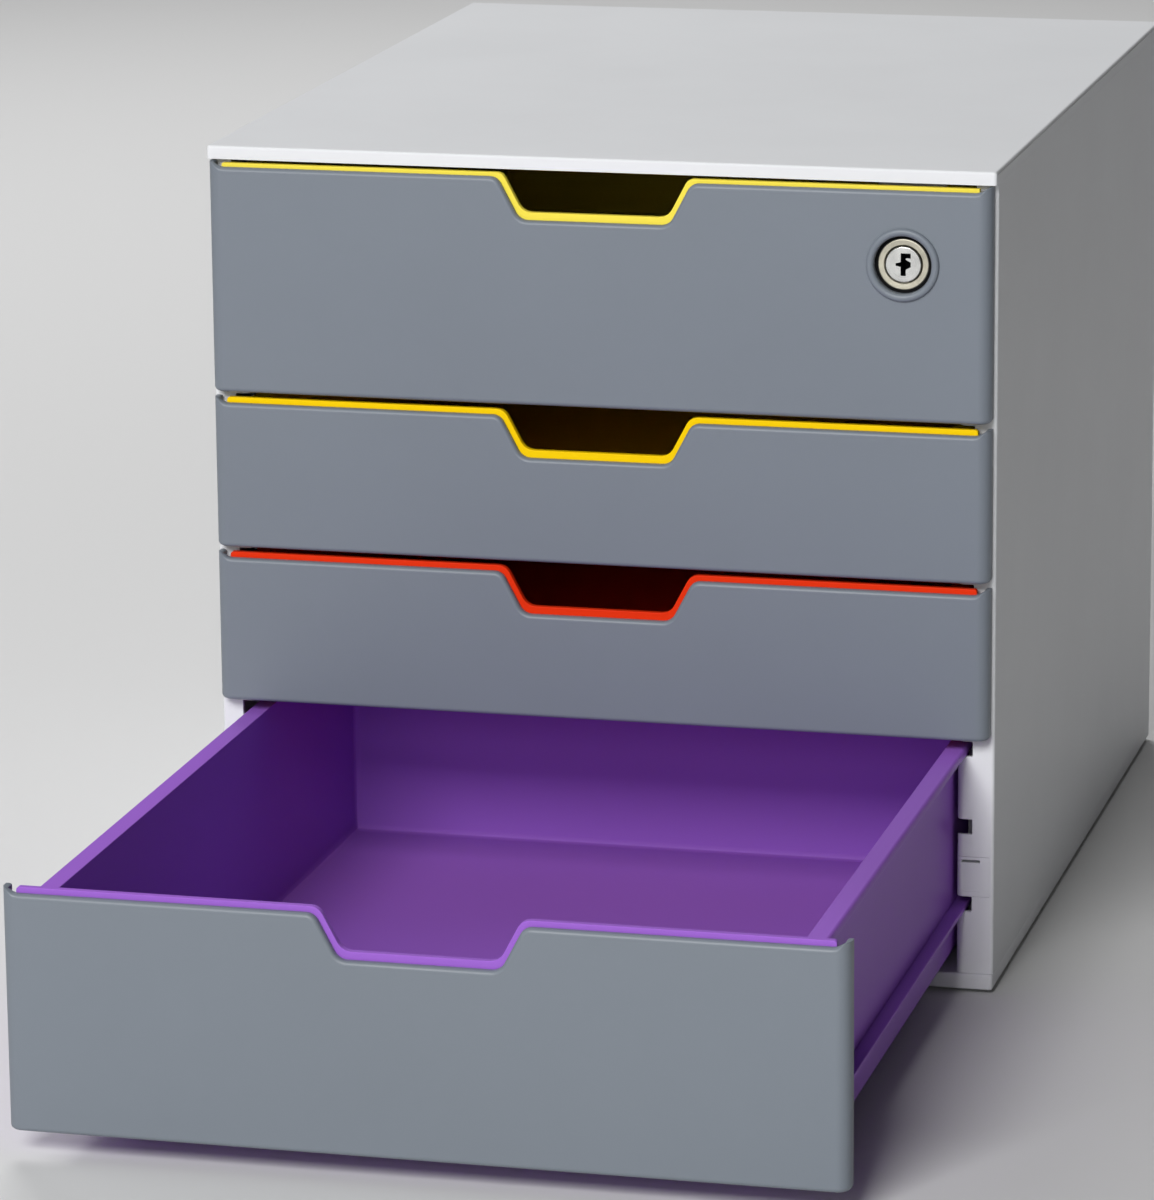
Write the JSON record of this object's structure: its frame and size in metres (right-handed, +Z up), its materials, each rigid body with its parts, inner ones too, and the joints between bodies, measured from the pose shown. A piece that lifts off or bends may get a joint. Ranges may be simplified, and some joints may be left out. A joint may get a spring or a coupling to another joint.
{
  "type": "desktop file drawer",
  "caption": "Light grey desktop drawer box with slate grey fronts over coloured trays, trapezoid finger cut-outs and a cam lock; the lowest drawer stands open.",
  "frame": {"origin": "on the table, under the middle of the casing", "axes": "+Z up, the drawers pull out towards -Y, +X to the right seen from the front, where the lock is"},
  "size_m": [0.28, 0.5885, 0.292],
  "materials": {
    "casing": "light grey moulded plastic, fine satin texture",
    "slate_cover": "slate grey moulded plastic, satin",
    "yellow_tray": "bright yellow moulded plastic, glossy",
    "amber_tray": "amber moulded plastic, glossy",
    "red_tray": "red moulded plastic, glossy",
    "purple_tray": "purple moulded plastic, glossy",
    "nickel": "nickel-plated lock metal, fine turned marks",
    "steel": "zinc-plated steel",
    "black_rubber": "black rubber"
  },
  "bodies": {
    "casing": {"top_panel": "casing", "base_plate": "casing", "back_panel": "casing", "left_side_panel": "casing", "right_side_panel": "casing", "left_runner_rack": "casing", "right_runner_rack": "casing", "drawer_stop_1_left": "casing", "drawer_stop_1_right": "casing", "drawer_stop_2_left": "casing", "drawer_stop_2_right": "casing", "drawer_stop_3_left": "casing", "drawer_stop_3_right": "casing", "drawer_stop_4_left": "casing", "drawer_stop_4_right": "casing", "foot_front_left": "black_rubber", "foot_front_right": "black_rubber", "foot_rear_left": "black_rubber", "foot_rear_right": "black_rubber", "lock_strike": "steel"},
    "drawer_1": {"tray_1": "yellow_tray", "front_cover_1": "slate_cover", "lock_housing": "nickel", "lock_washer": "black_rubber", "lock_nut": "steel"},
    "drawer_2": {"tray_2": "amber_tray", "front_cover_2": "slate_cover"},
    "drawer_3": {"tray_3": "red_tray", "front_cover_3": "slate_cover"},
    "drawer_4": {"tray_4": "purple_tray", "front_cover_4": "slate_cover"},
    "lock_core": {"lock_plug": "nickel", "lock_cam": "steel", "cam_screw": "steel"}
  },
  "joints": [
    {"name": "drawer_1_slide", "type": "slide", "parent": "casing", "child": "drawer_1", "axis": [0, -1, 0], "range_m": [0, 0.24]},
    {"name": "drawer_2_slide", "type": "slide", "parent": "casing", "child": "drawer_2", "axis": [0, -1, 0], "range_m": [0, 0.24]},
    {"name": "drawer_3_slide", "type": "slide", "parent": "casing", "child": "drawer_3", "axis": [0, -1, 0], "range_m": [0, 0.24]},
    {"name": "drawer_4_slide", "type": "slide", "parent": "casing", "child": "drawer_4", "axis": [0, -1, 0], "range_m": [-0.2326, 0.0074]},
    {"name": "lock_turn", "type": "hinge", "parent": "drawer_1", "child": "lock_core", "pos_m": [0.1084, -0.17, 0.2596], "axis": [0, 1, 0], "range_deg": [0, 90]}
  ]
}
